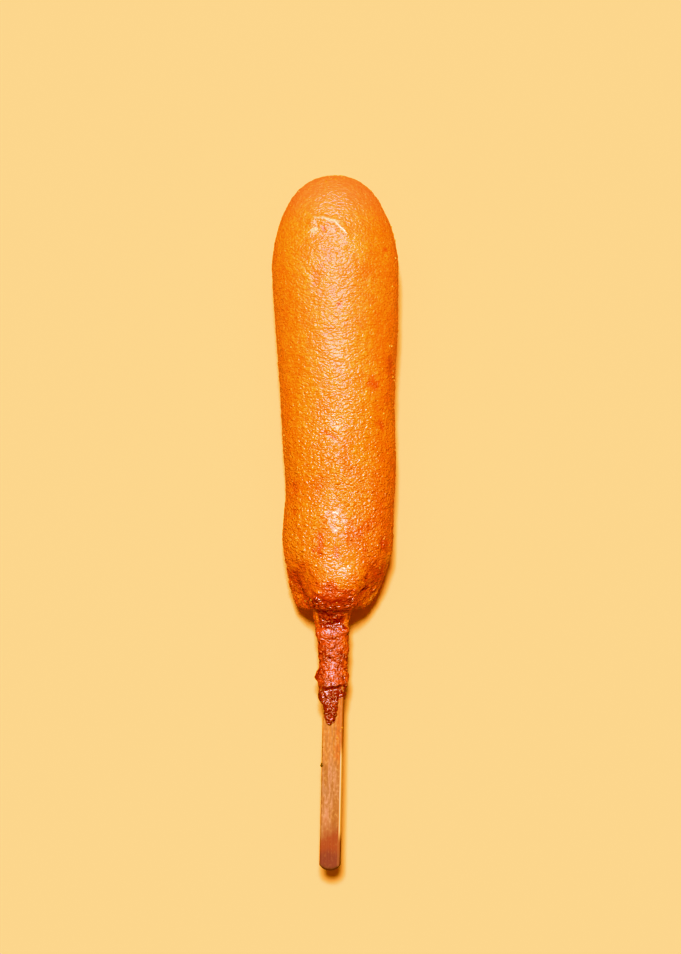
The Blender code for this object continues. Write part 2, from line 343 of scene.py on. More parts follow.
def crust_profile():
    """(length, radius) pairs from the nose's tip to the tongue's tip."""
    pairs = []
    widest = BODY_RADII[0][1] * MM
    for i in range(NOSE_RINGS):
        turn = math.pi / 2 * i / NOSE_RINGS
        along = NOSE_LENGTH * (1 - math.cos(turn) ** (2 / NOSE_POWER))
        pairs.append((along, widest * math.sin(turn) ** (2 / NOSE_POWER)))
    side_length = BODY_LENGTH - SHOULDER_LENGTH - NOSE_LENGTH
    for i in range(SIDE_RINGS):
        along = NOSE_LENGTH + side_length * i / SIDE_RINGS
        pairs.append((along, millimetres(BODY_RADII, along)))
    fall = BODY_RADII[-1][1] * MM - FACE_RADIUS
    for i in range(SHOULDER_RINGS):
        turn = math.pi / 2 * i / SHOULDER_RINGS
        along = BODY_LENGTH - SHOULDER_LENGTH * (1 - math.sin(turn))
        pairs.append((along, FACE_RADIUS + fall * math.cos(turn)))
    collar_start = COLLAR_WIDTHS[0][1] * MM
    for i in range(FACE_RINGS):
        inwards = i / FACE_RINGS
        pairs.append((BODY_LENGTH, FACE_RADIUS + (collar_start - FACE_RADIUS) * inwards))
    for i in range(COLLAR_RINGS + 1):
        at = COLLAR_LENGTH * i / COLLAR_RINGS
        pairs.append((BODY_LENGTH + at, millimetres(COLLAR_WIDTHS, at)))
    for i in range(1, TONGUE_RINGS + 1):
        turn = math.pi / 2 * i / TONGUE_RINGS
        along = BODY_LENGTH + COLLAR_LENGTH + TONGUE_LENGTH * math.sin(turn)
        pairs.append((along, TONGUE_HALF_WIDTH * math.cos(turn) ** 0.7))
    pairs[-1] = (pairs[-1][0], 0.0)
    return pairs


def turned(profile, segments):
    """A closed bmesh turned about the Y axis from (length, radius) pairs."""
    shape = bmesh.new()
    points = [shape.verts.new((radius, NOSE_Y - along, 0.0)) for along, radius in profile]
    edges = [shape.edges.new(pair) for pair in zip(points, points[1:])]
    bmesh.ops.spin(
        shape,
        geom=points + edges,
        cent=(0, 0, 0),
        axis=(0, 1, 0),
        angle=2 * math.pi,
        steps=segments,
        use_merge=True,
    )
    bmesh.ops.remove_doubles(shape, verts=shape.verts, dist=1e-6)
    bmesh.ops.recalc_face_normals(shape, faces=shape.faces)
    return shape


@functools.lru_cache(maxsize=None)
def height_share(along):
    """The height of the cross-section over its width: 1 on the body, less on the collar."""
    past_face = along - BODY_LENGTH
    if past_face <= 0:
        return 1.0
    if past_face >= COLLAR_LENGTH:
        return TONGUE_HALF_HEIGHT / TONGUE_HALF_WIDTH
    return millimetres(COLLAR_HEIGHTS, past_face) / millimetres(COLLAR_WIDTHS, past_face)


@functools.lru_cache(maxsize=None)
def centre_line(along):
    """The middle of the cross-section at that length from the nose's tip."""
    past_face = max(along - BODY_LENGTH, 0.0)
    x = millimetres(BOW, along) - past_face * math.tan(STICK_SWAY)
    leaning = COLLAR_LEAN * smooth_step(4 * MM, 12 * MM, past_face)
    x += leaning * smooth_step(27 * MM, 20 * MM, past_face)
    z = millimetres(BODY_RADII, along) - FLAT_DEPTH + past_face * math.tan(STICK_RISE)
    on_stick = smooth_step(COLLAR_LENGTH - 1.2 * MM, COLLAR_LENGTH + 0.6 * MM, past_face)
    lift = on_stick * STICK_THICKNESS / 2
    x += lift * math.sin(STICK_ROLL)
    return x, NOSE_Y - along, z + lift * math.cos(STICK_ROLL)


def bend_crust(shape):
    """Bows and flattens the turned form as the solid is, and shapes its flake and last corners."""
    for vert in shape.verts:
        along = round(NOSE_Y - vert.co.y, 6)
        away = (along - BODY_LENGTH - FLAKE_AT) / FLAKE_LENGTH
        fin = max(1 + away, 0.0) ** 1.5 if away < 0 else max(1 - 3.5 * away, 0.0)
        facing_left = max(-vert.co.x / max(math.hypot(vert.co.x, vert.co.z), MM / 10), 0.0)
        flake = FLAKE_HEIGHT * fin * facing_left**5
        past_face = max(along - BODY_LENGTH, 0.0)
        inside = FACE_RADIUS - math.hypot(vert.co.x, vert.co.z)
        inside /= FACE_RADIUS - COLLAR_WIDTHS[0][1] * MM
        if vert.co.z > 0 and along > BODY_LENGTH - MM / 10 and inside > 0:
            vert.co.z *= 1 + FILLET * min(inside, 1.0) * math.exp(-((past_face / FILLET_LENGTH) ** 2))
        trim = SHOULDER_TRIM * smooth_step(108 * MM, 116 * MM, along)
        trim *= smooth_step(BODY_LENGTH, 123 * MM, along)
        vert.co.x *= 1 - trim * (1.0 if vert.co.x > 0 else 0.5)
        across = Vector((vert.co.x - flake, 0.0, vert.co.z * height_share(along)))
        vert.co = Vector(centre_line(along)) + across
        corner = smooth_step(*CORNER_LENGTHS, along) * smooth_step(*CORNER_SIDES, abs(across.x))
        vert.co.z *= 1 - CORNER_DROOPS[across.x > 0] * corner


def lumps(point):
    """The slow unevenness that the solid has too."""
    slow = LUMP_HEIGHT * noise.noise(point / LUMP_SIZE)
    return slow + RIPPLE_HEIGHT * noise.noise(point / RIPPLE_SIZE)


def bubbles(point, size):
    """Close-set domes, from 0 between them to about 1 on top."""
    nearest = noise.voronoi(point / size)[0][0]
    return 1 - min(nearest, 1.0) ** 2 * 2


def billows(point, size):
    """Broad tops with thin winding creases between them, about -0.5 to 0.5."""
    return 2.2 * abs(noise.noise(point / size)) - 0.5


def pebbles(point, along, crust):
    """The fine pebbly skin: calm on the body, rougher at its stick end and on the collar."""
    wide = Vector((point.x * 0.68, point.y, point.z * 0.68))
    broad, narrow = 1.4 * crust.pebble_size, 0.8 * crust.pebble_size
    skin = crust.pebble_height * (0.7 * billows(wide, broad) + 0.8 * noise.noise(wide / narrow))
    dimples = 0.5 * crust.pebble_height * noise.noise(point / (2.6 * crust.pebble_size))
    rough = smooth_step(BODY_LENGTH - 30 * MM, BODY_LENGTH - 4 * MM, along)
    domes = (bubbles(point, 1.1 * MM) - 0.4) * (0.4 + noise.noise(point / (4 * MM)))
    blisters = crust.blister_height * rough * (noise.noise(point / (2.4 * MM)) + domes)
    calm = 0.7 + 0.3 * smooth_step(25 * MM, 60 * MM, along)
    return skin * (calm + rough) + dimples + blisters


def collar_share(sideways, along):
    """How far out from the collar's middle: 1 at its edge seen from above."""
    return abs(sideways) / millimetres(COLLAR_WIDTHS, along - BODY_LENGTH)


def collar_relief(point, along, crust, wet):
    """The collar's drips: folds, close-set bubbles, and a slanting groove by a flat-topped ridge."""
    past_face = along - BODY_LENGTH
    middle_x, _, middle_z = centre_line(along)
    upper = smooth_step(0.2 * MM, 2.6 * MM, point.z - middle_z)
    shown = smooth_step(0.2 * MM, 1.6 * MM, past_face)
    wide = Vector((0.45 * point.x, point.y, 0.45 * point.z))
    lumpy = noise.noise(wide / (1.9 * MM)) + 0.6 * noise.noise(wide / (0.9 * MM))
    drip = smooth_step(22 * MM, 24 * MM, past_face)
    bubbly = (bubbles(point, 0.9 * MM) - 0.4) * (0.7 + noise.noise(point / (2.6 * MM)))
    bubbly += drip * (1.6 * bubbles(point, 1.5 * MM) - 0.6 - 0.6 * bubbly)
    slant = past_face / MM + 0.25 * (point.x - middle_x) / MM
    folds = through(COLLAR_FOLDS, slant) * MM * upper
    out = min(collar_share(point.x - middle_x, along), 1.0)
    flatter = math.sqrt(1 - out**4) - math.sqrt(1 - out**2)
    folds += RIDGE_FLATNESS * flatter * math.exp(-(((slant - 6.6) / 1.7) ** 2)) * upper
    return shown * (crust.collar_height * (lumpy + 0.7 * bubbly) * (1 - 0.7 * wet) + folds)


def lay_on_top(surface, path):
    """Points every half millimetre along a path of (sideways, length) pairs laid on the crust."""
    spots = []
    ends = list(zip(path, path[1:])) or [(path[0], path[0])]
    for (x0, a0), (x1, a1) in ends:
        steps = max(round(math.hypot(x1 - x0, a1 - a0) / 0.5), 1)
        for i in range(steps + 1):
            along = (a0 + (a1 - a0) * i / steps) * MM
            x = (x0 + (x1 - x0) * i / steps) * MM + centre_line(round(along, 6))[0]
            spot = surface.ray_cast(Vector((x, NOSE_Y - along, 0.1)), Vector((0, 0, -1)))[0]
            if spot is None:
                raise RuntimeError(f"A blemish at {x / MM:.1f}, {along / MM:.1f} mm misses the crust")
            spots.append(spot)
    return spots


def spots_near(shape):
    """A function that gives {vertex: closeness from 0 to 1} around a path laid on the crust."""
    surface = BVHTree.FromBMesh(shape)
    tree = KDTree(len(shape.verts))
    for vert in shape.verts:
        tree.insert(vert.co, vert.index)
    tree.balance()

    def near(path, width):
        shares = {}
        for spot in lay_on_top(surface, path):
            for place, index, away in tree.find_range(spot, 2.6 * width * MM):
                ragged = away / (width * MM) * (1 + 0.6 * noise.noise(place / (0.9 * MM)))
                shares[index] = max(shares.get(index, 0.0), math.exp(-ragged * ragged))
        return shares

    return near


def blemish_marks(near):
    """Each marked vertex's (height, browning) from the blisters and pits near it."""
    marks = {}
    for path, width, height, browning in BLEMISHES:
        for index, share in near(path, width).items():
            old_height, old_browning = marks.get(index, (0.0, 0.0))
            more = browning * share
            marks[index] = (
                old_height + height * MM * share,
                max(old_browning, more) if more > 0 else old_browning + more,
            )
    return marks


def gloss_marks(near):
    """Each marked vertex's extra shine, below 0 where it is duller."""
    marks = {}
    for path, width, wet in GLOSSY:
        for index, share in near(path, width).items():
            marks[index] = min(marks.get(index, 0.0) + wet * share, 1.0)
    return marks


def pale_edge_and_glow(along):
    """How much paler the collar's two edges are than its middle, partly less browned batter and partly
    painted light glowing through the thin edge: most next to the body.
    """
    return 0.85 - 0.55 * smooth_step(5 * MM, 8 * MM, along - BODY_LENGTH)


def toasting(point, along, height):
    """How far the crust has gone from golden (0) to chestnut (1), by place and by height: low places get
    more, as painted shade.
    """
    radius = millimetres(BODY_RADII, along)
    sideways = point.x - centre_line(along)[0]
    side = min(abs(sideways) / radius, 1.0)
    coarse, fine = noise.noise(point / (3.4 * MM)), noise.noise(point / (1.3 * MM))
    ragged = 2.6 * MM * coarse + 1.8 * MM * fine
    end = smooth_step(BODY_LENGTH - 15 * MM, BODY_LENGTH - 2 * MM, along + 5 * MM * side**2 + ragged)
    end *= 0.46 - 0.26 * side + (0.2 + 0.3 * side) * fine + 0.45 * coarse
    rim = smooth_step(BODY_LENGTH - 6 * MM, BODY_LENGTH - 1.5 * MM, along + 0.5 * ragged)
    rim *= 1 - 0.8 * smooth_step(0.3, 0.6, side)
    if along > BODY_LENGTH:
        out = smooth_step(0.6, 0.95, collar_share(sideways, along))
        rim = 0.80 + 0.4 * coarse - pale_edge_and_glow(along) * 0.5 * out
    patches = 0.8 * max(noise.noise(point / (6.5 * MM)) - 0.1, 0.0)
    lower = smooth_step(62 * MM, 105 * MM, along)
    right = (0.24 + 0.06 * lower) * smooth_step(3 * MM, 14 * MM, sideways)
    right *= 1 - 0.7 * smooth_step(112 * MM, 121 * MM, along)
    # Low places are browned more: painted shade in the hollows
    painted_hollow_shade = smooth_step(0.02 * MM, -0.16 * MM, height) * 0.15
    middle = (0.14 + 0.08 * (1 - side)) * lower
    return min(max(end, rim) + patches * (0.5 + 0.5 * lower) + right + middle + painted_hollow_shade, 1.0)


def charring(point, along, height):
    """How far the crust has gone from chestnut (0) to dark red-brown (1), by place and by height: low
    places get more, as painted shade.
    """
    past_face = (along - BODY_LENGTH) / MM
    if past_face < CHARRING[0][0]:
        return 0.0
    base = through(CHARRING, past_face)
    sideways = point.x - centre_line(along)[0]
    mottling = 0.12
    if past_face > 0:
        out = collar_share(sideways, along) + 0.3 * noise.noise(point / (1.6 * MM))
        base *= 1 - pale_edge_and_glow(along) * smooth_step(0.5, 0.95, out)
        mottling = 0.5 - 0.25 * smooth_step(21, 24, past_face)
    else:
        base *= 1 - 0.8 * smooth_step(4 * MM, 8 * MM, abs(sideways))
    mottled = 0.6 * noise.noise(point / (1.7 * MM)) + 0.7 * noise.noise(point / (0.7 * MM))
    # Low places are charred more: painted shade in the hollows
    painted_hollow_shade = 0.6 * smooth_step(-0.05 * MM, -0.4 * MM, height)
    shown = smooth_step(-16, -7, past_face)
    return min(max(base + (mottling + 0.7 * base) * mottled * shown + painted_hollow_shade * shown, 0.0), 1.0)


def make_crust(crust):
    """The crust's bmesh, with its browning, which also holds painted shade in low places and painted
    highlights on some pale marks, and extra shine kept in layers on the vertices.
    """
    shape = turned(crust_profile(), CRUST_SEGMENTS)
    toast = shape.verts.layers.float.new("toast")
    char = shape.verts.layers.float.new("char")
    wet = shape.verts.layers.float.new("wet")
    lengths = {vert: round(NOSE_Y - vert.co.y, 6) for vert in shape.verts}
    bend_crust(shape)
    shape.normal_update()
    shape.verts.index_update()
    near = spots_near(shape)
    marks, shines = blemish_marks(near), gloss_marks(near)
    moves = []
    for vert in shape.verts:
        along, point = lengths[vert], vert.co
        mark_height, mark_browning = marks.get(vert.index, (0.0, 0.0))
        on_collar = smooth_step(BODY_LENGTH - 1.0 * MM, BODY_LENGTH, along)
        shine = shines.get(vert.index, 0.0)
        fine = pebbles(point, along, crust) * (1 - 0.5 * on_collar) * (1 - 0.65 * abs(shine))
        fine += mark_height
        if along > BODY_LENGTH - 1.0 * MM:
            fine += collar_relief(point, along, crust, abs(shine))
        vert[wet] = shine
        vert[toast] = min(toasting(point, along, fine) + mark_browning, 1.0)
        vert[char] = max(charring(point, along, fine), 0.7 * max(mark_browning - 0.6, 0.0))
        moves.append(vert.normal * (lumps(point) * (1 - 0.5 * on_collar) + fine))
    for vert, move in zip(shape.verts, moves):
        vert.co += move
        vert.co.z = max(vert.co.z, 0.0)
    return shape


def stick_placing():
    """Puts the stick's own frame, Y along it from the body's face, into the corn dog's."""
    turn = (
        Matrix.Rotation(-STICK_RISE, 4, "X")
        @ Matrix.Rotation(-STICK_LEAN, 4, "Z")
        @ Matrix.Rotation(STICK_ROLL, 4, "Y")
    )
    return Matrix.Translation((STICK_X, FACE_Y, AXIS_Z)) @ turn


def stick_section(shape):
    """The stick's cross-section as a closed loop of edges, finely cut on its wide faces."""
    half_width, half_thickness = STICK_WIDTH / 2, STICK_THICKNESS / 2
    corners = [
        shape.verts.new((half_width * x, -STICK_OUTSIDE, half_thickness * z))
        for x, z in ((-1, -1), (1, -1), (1, 1), (-1, 1))
    ]
    for pair in zip(corners, corners[1:] + corners[:1]):
        shape.edges.new(pair)
    bmesh.ops.bevel(
        shape,
        geom=corners,
        offset=STICK_EDGE,
        offset_type="OFFSET",
        affect="VERTICES",
        segments=4,
        profile=0.5,
        material=-1,
    )
    for cuts, axis in ((STICK_TOP_CUTS, 0), (STICK_SIDE_CUTS, 2)):
        straight = [
            edge
            for edge in shape.edges
            if abs(edge.verts[0].co[axis] - edge.verts[1].co[axis]) > STICK_EDGE * 1.5
        ]
        bmesh.ops.subdivide_edges(shape, edges=straight, cuts=cuts)
    return shape.verts[:] + shape.edges[:]


def grain(x, y, z, depth):
    """How deep the wood's long grooves and its wandering grain cut in, in the stick's frame."""
    drift = 0.35 * MM * noise.noise(Vector((0.0, y, 0.0)) / (14 * MM))
    line = Vector(((x + drift) / (0.42 * MM), y / (26 * MM), z / (0.5 * MM)))
    fine = Vector((x / (0.17 * MM), y / (9 * MM), z / (0.2 * MM)))
    return -depth * (0.5 + 0.5 * noise.noise(line) + 0.35 * noise.noise(fine))


def make_stick(stick):
    """The stick's bmesh: swept along, closed and worn round at its ends, with its grain cut in."""
    shape = bmesh.new()
    section = stick_section(shape)
    length = STICK_OUTSIDE + STICK_IN_BODY
    bmesh.ops.spin(
        shape,
        geom=section,
        angle=0.0,
        steps=STICK_RINGS,
        axis=(0, 0, 1),
        cent=(0, 0, 0),
        dvec=(0, length / STICK_RINGS, 0),
    )
    bmesh.ops.remove_doubles(shape, verts=shape.verts, dist=1e-7)
    bmesh.ops.holes_fill(shape, edges=[edge for edge in shape.edges if edge.is_boundary])
    bmesh.ops.recalc_face_normals(shape, faces=shape.faces)
    caps = [face for face in shape.faces if len(face.verts) > 4]
    for thickness, depth in ((0.12 * MM, 0.10 * MM), (0.2 * MM, 0.06 * MM), (0.5 * MM, 0.0)):
        bmesh.ops.inset_region(shape, faces=caps, thickness=thickness, depth=depth)
    half_width = STICK_WIDTH / 2
    middle = (STICK_IN_BODY - STICK_OUTSIDE) / 2
    across = shape.verts.layers.float.new("across")
    painted_end_shade = shape.verts.layers.float.new("painted_end_shade")
    shape.normal_update()
    for vert in shape.verts:
        x, y, z = vert.co
        cut = grain(x, y, z, stick.grain_depth)
        reach = abs(y - middle) / (length / 2)
        arc = STICK_END_ARC * abs(x / half_width) ** 2.4 * reach**12
        vert[across] = x / half_width
        # A dark band just inside the stick's end: painted shade where the end turns away from the light
        edge = smooth_step(0.75 * MM, 0.30 * MM, y + STICK_OUTSIDE)
        vert[painted_end_shade] = edge * smooth_step(0.97, 0.8, abs(x / half_width + 0.05))
        vert.co += vert.normal * cut
        vert.co.y += arc if y < middle else -arc
    bmesh.ops.triangulate(shape, faces=[face for face in shape.faces if len(face.verts) > 4])
    shape.transform(stick_placing())
    return shape


def add_piece(name, shape, material, node):
    """Makes a smooth-shaded object of a bmesh, riding on the corn dog's one body."""
    mesh = bpy.data.meshes.new(name)
    shape.to_mesh(mesh)
    shape.free()
    mesh.shade_smooth()
    mesh.materials.append(material)
    piece = bpy.data.objects.new(name, mesh)
    bpy.context.scene.collection.objects.link(piece)
    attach(piece, "root")
    if node:
        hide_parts(node)
    return piece


class Wire:
    """An output socket in an expression: sums and products on it add Math nodes."""

    def __init__(self, look, socket):
        self.look = look
        self.socket = socket

    def math(self, operation, *others):
        return self.look.node("Math", {"operation": operation}, dict(enumerate((self, *others))))

    def __add__(self, other):
        return self.math("ADD", other)

    __radd__ = __add__

    def __mul__(self, other):
        return self.math("MULTIPLY", other)

    __rmul__ = __mul__

    def __sub__(self, other):
        return self.math("SUBTRACT", other)

    def __rsub__(self, other):
        return self.math("MULTIPLY_ADD", -1.0, other)

    def step(self, low, high):
        """0 below low, 1 above high, and smooth between them."""
        inputs = {"Value": self, "From Min": low, "From Max": high}
        return self.look.node("MapRange", {"interpolation_type": "SMOOTHSTEP"}, inputs)


class Look:
    """A material with a Principled shader, wired in Python."""

    def __init__(self, name):
        self.material = bpy.data.materials.new(name)
        self.material.use_nodes = True
        self.nodes = self.material.node_tree.nodes
        self.links = self.material.node_tree.links
        self.shader = self.nodes["Principled BSDF"]
        self.place = self.node("TexCoord", output="Object")

    def node(self, kind, settings=None, inputs=None, output=0):
        """Adds a shader node, its settings first, and returns one of its outputs as a Wire."""
        added = self.nodes.new("ShaderNode" + kind)
        for key, value in (settings or {}).items():
            setattr(added, key, value)
        for key, value in (inputs or {}).items():
            self.fill(added.inputs[key], value)
        return Wire(self, added.outputs[output])

    def fill(self, socket, value):
        if isinstance(value, Wire):
            self.links.new(value.socket, socket)
        else:
            socket.default_value = value

    def finish(self, **inputs):
        """Sets the shader's own sockets, their names given with _ for a space."""
        for name, value in inputs.items():
            self.fill(self.shader.inputs[name.replace("_", " ")], value)
        return self.material

    def attribute(self, name):
        return self.node("Attribute", {"attribute_name": name}, output="Fac")

    def stretched(self, scale):
        """The object's coordinates, multiplied along each axis."""
        return self.node("Mapping", {"vector_type": "POINT"}, {"Vector": self.place, "Scale": scale})

    def noise(self, size, detail=2.0, place=None):
        """Soft noise from 0 to 1, its blotches about that size."""
        inputs = {"Vector": place or self.place, "Scale": 1 / size, "Detail": detail}
        return self.node("TexNoise", inputs=inputs)

    def cells(self, size, output="Distance"):
        """Distance to the nearest of random points set about that far apart, in cell widths."""
        inputs = {"Vector": self.place, "Scale": 1 / size}
        return self.node("TexVoronoi", inputs=inputs, output=output)

    def mix(self, share, first, second, blend="MIX"):
        """Blends two colours."""
        settings = {"data_type": "RGBA", "blend_type": blend}
        return self.node("Mix", settings, {0: share, 6: first, 7: second}, output=2)

    def bump(self, height, depth):
        return self.node("Bump", inputs={"Strength": 1.0, "Distance": depth, "Height": height})


def rgba(colour):
    return (*colour, 1.0)


def crust_look(crust):
    """Oily fried batter: golden to deep orange, chestnut at the stick end, dark where charred."""
    look = Look("fried_crust")
    toast = look.attribute("toast")
    char = look.attribute("char")
    wet = look.attribute("wet")
    apart = look.node("SeparateXYZ", inputs={"Vector": look.place}, output="Y")
    painted_nose_sheen = apart.step(*PAINTED_SHEEN_SKIN)
    nose = apart.step(*NOSE_SKIN)
    drip = 1 - apart.step(*DRIP_SKIN)
    coarser = 1.3 + 0.8 * (1 - apart.step(*COARSE_SKIN))
    boils = 1 - look.cells(0.95 * MM)
    wide = look.stretched((0.68, 1.0, 0.68))
    micro = look.noise(0.15 * MM, 1.0)
    mottle = look.noise(5.5 * MM, 3.0)
    freckle = look.noise(1.1 * MM, 2.0)
    sheen = look.noise(4.0 * MM, 2.0)
    grainy = look.noise(0.45 * MM, 2.0, wide)
    winding = look.noise(1.1 * MM, 1.0, wide)
    tops = (winding * 2 - 1).math("ABSOLUTE") * 3
    skin = tops * (0.55 - 0.2 * nose) + 0.9 * grainy

    patchy = 0.12 + 0.7 * mottle.step(0.36, 0.68) + 1.1 * nose * (sheen - 0.5)
    colour = look.mix(patchy, rgba(crust.golden), rgba(crust.deep_orange))
    colour = look.mix((0.55 + 0.3 * nose) * freckle.step(0.52, 0.72), colour, rgba(crust.deep_orange))
    # Painted shade: darker skin where the bump pattern is low, between the pebbles
    painted_pebble_shade = 1 - (0.7 * tops + 0.9 * grainy).step(0.42, 0.86)
    colour = look.mix(0.5 * painted_pebble_shade, colour, rgba(crust.painted_hollow_shade))

    browned = (toast + 0.35 * (freckle - 0.5) + 0.35 * (grainy - 0.5)).step(0.04, 0.95)
    brown = look.mix(browned, rgba(crust.ruddy), rgba(crust.chestnut))
    colour = look.mix(browned, colour, brown)
    # Charring, and more of it in the creases of the bump pattern, where it is painted shade
    charred = (char + 0.6 * (grainy - 0.5) + 0.3 * (0.5 - tops)).step(0.15, 0.9)
    colour = look.mix(charred, colour, rgba(crust.charred))

    # Browning below 0 turns pale: real pale specks and grits, and painted highlights and glow at marked
    # places
    pale = 1 - (toast + 0.4 * (grainy - 0.5)).step(-0.75, -0.05)
    meal = look.cells(0.8 * MM)
    chosen = look.noise(0.9 * MM, 0.0).step(0.56, 0.66)
    specks = (1 - meal.step(0.16, 0.34)) * chosen * (1 - 0.45 * browned)
    colour = look.mix((0.6 * specks).math("MAXIMUM", 0.8 * pale), colour, rgba(crust.meal))
    # Painted sheen: a paler, pinker tone over the nose's tip, where the light's haze shows
    colour = look.mix(0.5 * painted_nose_sheen, colour, rgba(crust.painted_nose_sheen))

    collar = 1 - apart.step(*COLLAR_SKIN)
    calm = 1 - 0.7 * wet.math("ABSOLUTE")
    relief = 0.2 * micro + charred * boils * (0.3 + 0.5 * collar - 0.55 * drip) - 0.3 * skin * collar
    look.finish(
        Base_Color=colour,
        Roughness=crust.roughness + 0.16 * (freckle - 0.5) + 0.2 * (sheen - 0.5) - 0.12 * charred
        + 0.11 * nose + 0.05 * collar,
        Normal=look.bump(calm * (skin * coarser + relief), crust.skin_depth),
        Specular_IOR_Level=crust.gloss,
        IOR=1.67,
        Coat_Weight=(0.1 * browned).math("MAXIMUM", wet),
        Coat_Roughness=0.28,
    )
    return look.material


def wood_look(stick):
    """Wood with straight grain, browned by oil near the batter and reddened at its end."""
    look = Look("stick_wood")
    y = look.node("SeparateXYZ", inputs={"Vector": look.place}, output="Y")
    across = look.attribute("across")
    fibres = look.noise(0.34 * MM, 2.0, look.stretched((1.0, 0.16, 0.8)))
    speckle = look.noise(0.6 * MM, 3.0, look.stretched((1.0, 0.55, 1.0)))
    long_grain = look.noise(0.5 * MM, 3.0, look.stretched((1.0, 0.035, 0.8)))
    streaks = look.noise(1.5 * MM, 2.0, look.stretched((1.0, 0.08, 0.8)))
    blotches = look.noise(3.2 * MM, 3.0, look.stretched((1.0, 0.5, 1.0)))
    wander = 9 * MM * (blotches - 0.5) + 6 * MM * (streaks - 0.5)
    oiled = (y + wander).step(*OILED)
    stained = (y + wander).step(*STAINED) * across.step(0.15, 0.5)
    reddened = 1 - (y + wander - 2 * MM * across).step(*REDDENED)
    tip = 1 - (y + 0.5 * wander).step(*END_GRAIN)
    colour = look.mix(streaks.step(0.38, 0.62), rgba(stick.pale_wood), rgba(stick.dark_grain))
    colour = look.mix(0.5 * blotches.step(0.45, 0.62), colour, rgba(stick.tan))
    colour = look.mix(0.75 * oiled, colour, rgba(stick.oiled))
    colour = look.mix(0.85 * stained, colour, rgba(stick.stain))
    colour = look.mix(0.92 * reddened, colour, rgba(stick.reddened))
    colour = look.mix(0.8 * tip, colour, rgba(stick.end_grain))
    worn = 1 - 0.75 * reddened
    lines = (0.4 * fibres + 0.45 * long_grain + 0.15 * speckle).step(0.46, 0.60)
    colour = look.mix(0.42 * lines * worn, colour, rgba(stick.fibre))
    colour = look.mix(0.2 * (1 - speckle.step(0.34, 0.46)) * worn, colour, rgba(stick.bare_wood_and_lit_edge))
    colour = look.mix(0.3 * speckle.step(0.54, 0.68) * worn, colour, rgba(stick.fibre))
    colour = look.mix(0.35 * across.step(0.70, 0.78), colour, rgba(stick.dark_grain))
    # The right narrow side painted pale: partly clean wood, partly painted light as if the key fell on
    # it
    painted_lit_side = across.step(0.80, 0.86) * y.step(*LIT_SIDE_FROM) * (1 - y.step(*LIT_SIDE_TO))
    colour = look.mix(0.85 * painted_lit_side, colour, rgba(stick.bare_wood_and_lit_edge))
    # Painted shade along the stick's end
    colour = look.mix(0.85 * look.attribute("painted_end_shade"), colour, rgba(stick.painted_end_shade))
    look.finish(
        Base_Color=colour,
        Roughness=0.68 - 0.2 * oiled,
        Normal=look.bump(0.5 * long_grain + 0.5 * speckle, 0.09 * MM),
        Specular_IOR_Level=0.3,
    )
    return look.material


def crumb_look(name, colour, toasted):
    """Broken crust: one colour to another by crumb, in soft patches."""
    look = Look(name)
    patch = look.noise(0.8 * MM, 3.0)
    browned = (look.attribute("toast") + 0.8 * (patch - 0.5)).step(0.1, 0.9)
    look.finish(
        Base_Color=look.mix(browned, rgba(colour), rgba(toasted)),
        Roughness=0.35 + 0.2 * patch,
        Normal=look.bump(look.noise(0.2 * MM), 0.04 * MM),
    )
    return look.material


def add_lump(shape, place, normal, size, toast, chance, fineness):
    """Adds one crumb to a bmesh: a knobbly ball, longer one way, half sunk where it sits."""
    layer = shape.verts.layers.float.get("toast") or shape.verts.layers.float.new("toast")
    made = bmesh.ops.create_icosphere(shape, subdivisions=fineness, radius=size / 2)["verts"]
    seed = Vector((chance.uniform(0, 50), chance.uniform(0, 50), chance.uniform(0, 50)))
    for vert in made:
        vert[layer] = toast
        vert.co *= 1 + 0.5 * noise.noise(vert.co / (0.45 * size) + seed)
    stretch = Matrix.Diagonal((chance.uniform(1.0, 1.5), chance.uniform(0.75, 1.1), 0.75, 1.0))
    turn = Matrix.Rotation(chance.uniform(0, math.tau), 4, "Z")
    upright = normal.to_track_quat("Z", "Y").to_matrix().to_4x4()
    bmesh.ops.transform(
        shape,
        verts=made,
        matrix=Matrix.Translation(place) @ upright @ turn @ stretch,
    )


def colour_setting(name, description, default):
    """A colour that the panel shows."""
    return FloatVectorProperty(
        name=name, description=description, subtype="COLOR", min=0, max=1, default=default
    )


def length_setting(name, description, default):
    """A length that the panel shows, in metres."""
    return FloatProperty(name=name, description=description, unit="LENGTH", precision=5, default=default)


